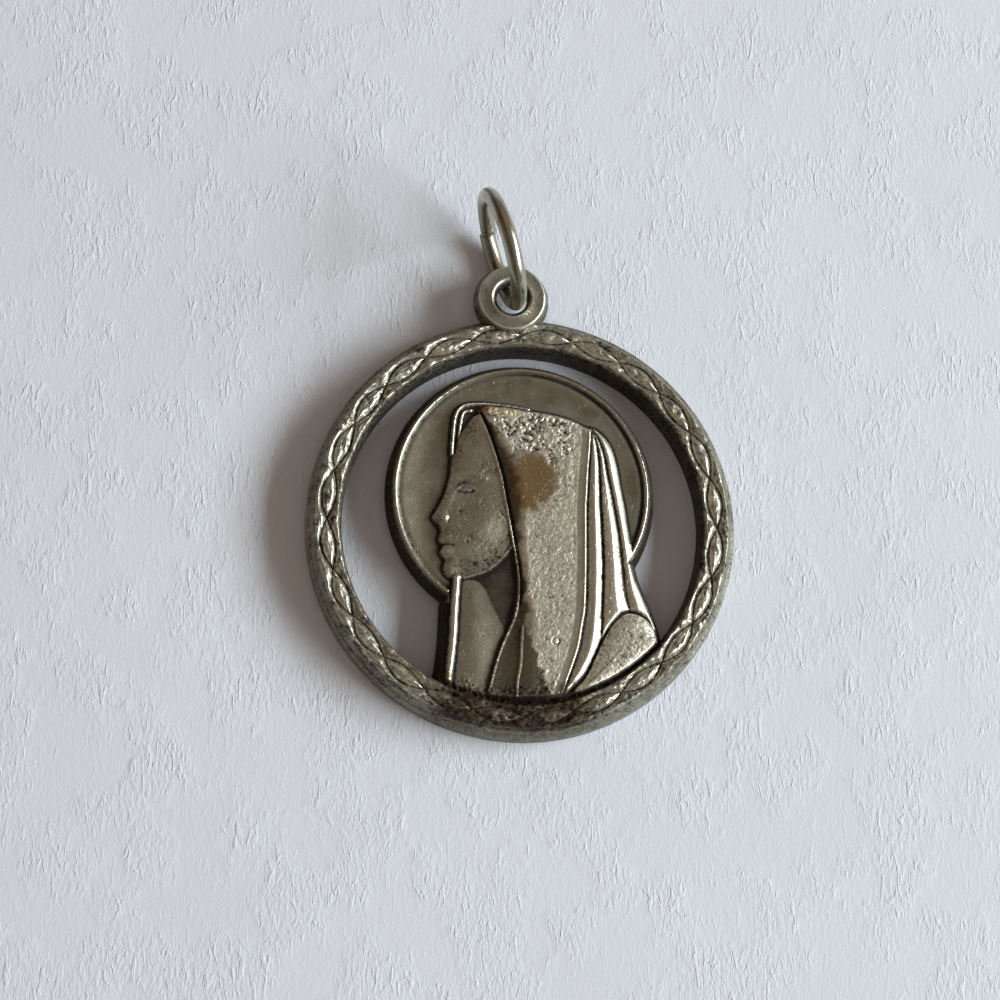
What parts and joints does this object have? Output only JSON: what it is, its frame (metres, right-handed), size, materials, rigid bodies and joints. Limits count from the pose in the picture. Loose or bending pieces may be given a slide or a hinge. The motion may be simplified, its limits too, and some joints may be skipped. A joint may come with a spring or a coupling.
{
  "type": "pierced religious medal pendant",
  "caption": "Round pierced medal with a lozenge-banded frame, a halo disc and a veiled bust in relief, hung by an eyelet and a split jump ring.",
  "frame": {"origin": "centre of the frame ring on the medal's flat back", "axes": "+Z out of the relief, +Y towards the eyelet and the jump ring, +X to the right of the relief"},
  "size_m": [0.022, 0.0282, 0.0065],
  "materials": {
    "medal_metal": "worn, tarnished white metal, dark in its recesses",
    "wire_metal": "worn drawn wire, lightly tarnished"
  },
  "bodies": {
    "root": {"medal_body": "medal_metal", "jump_ring": "wire_metal"}
  },
  "joints": []
}
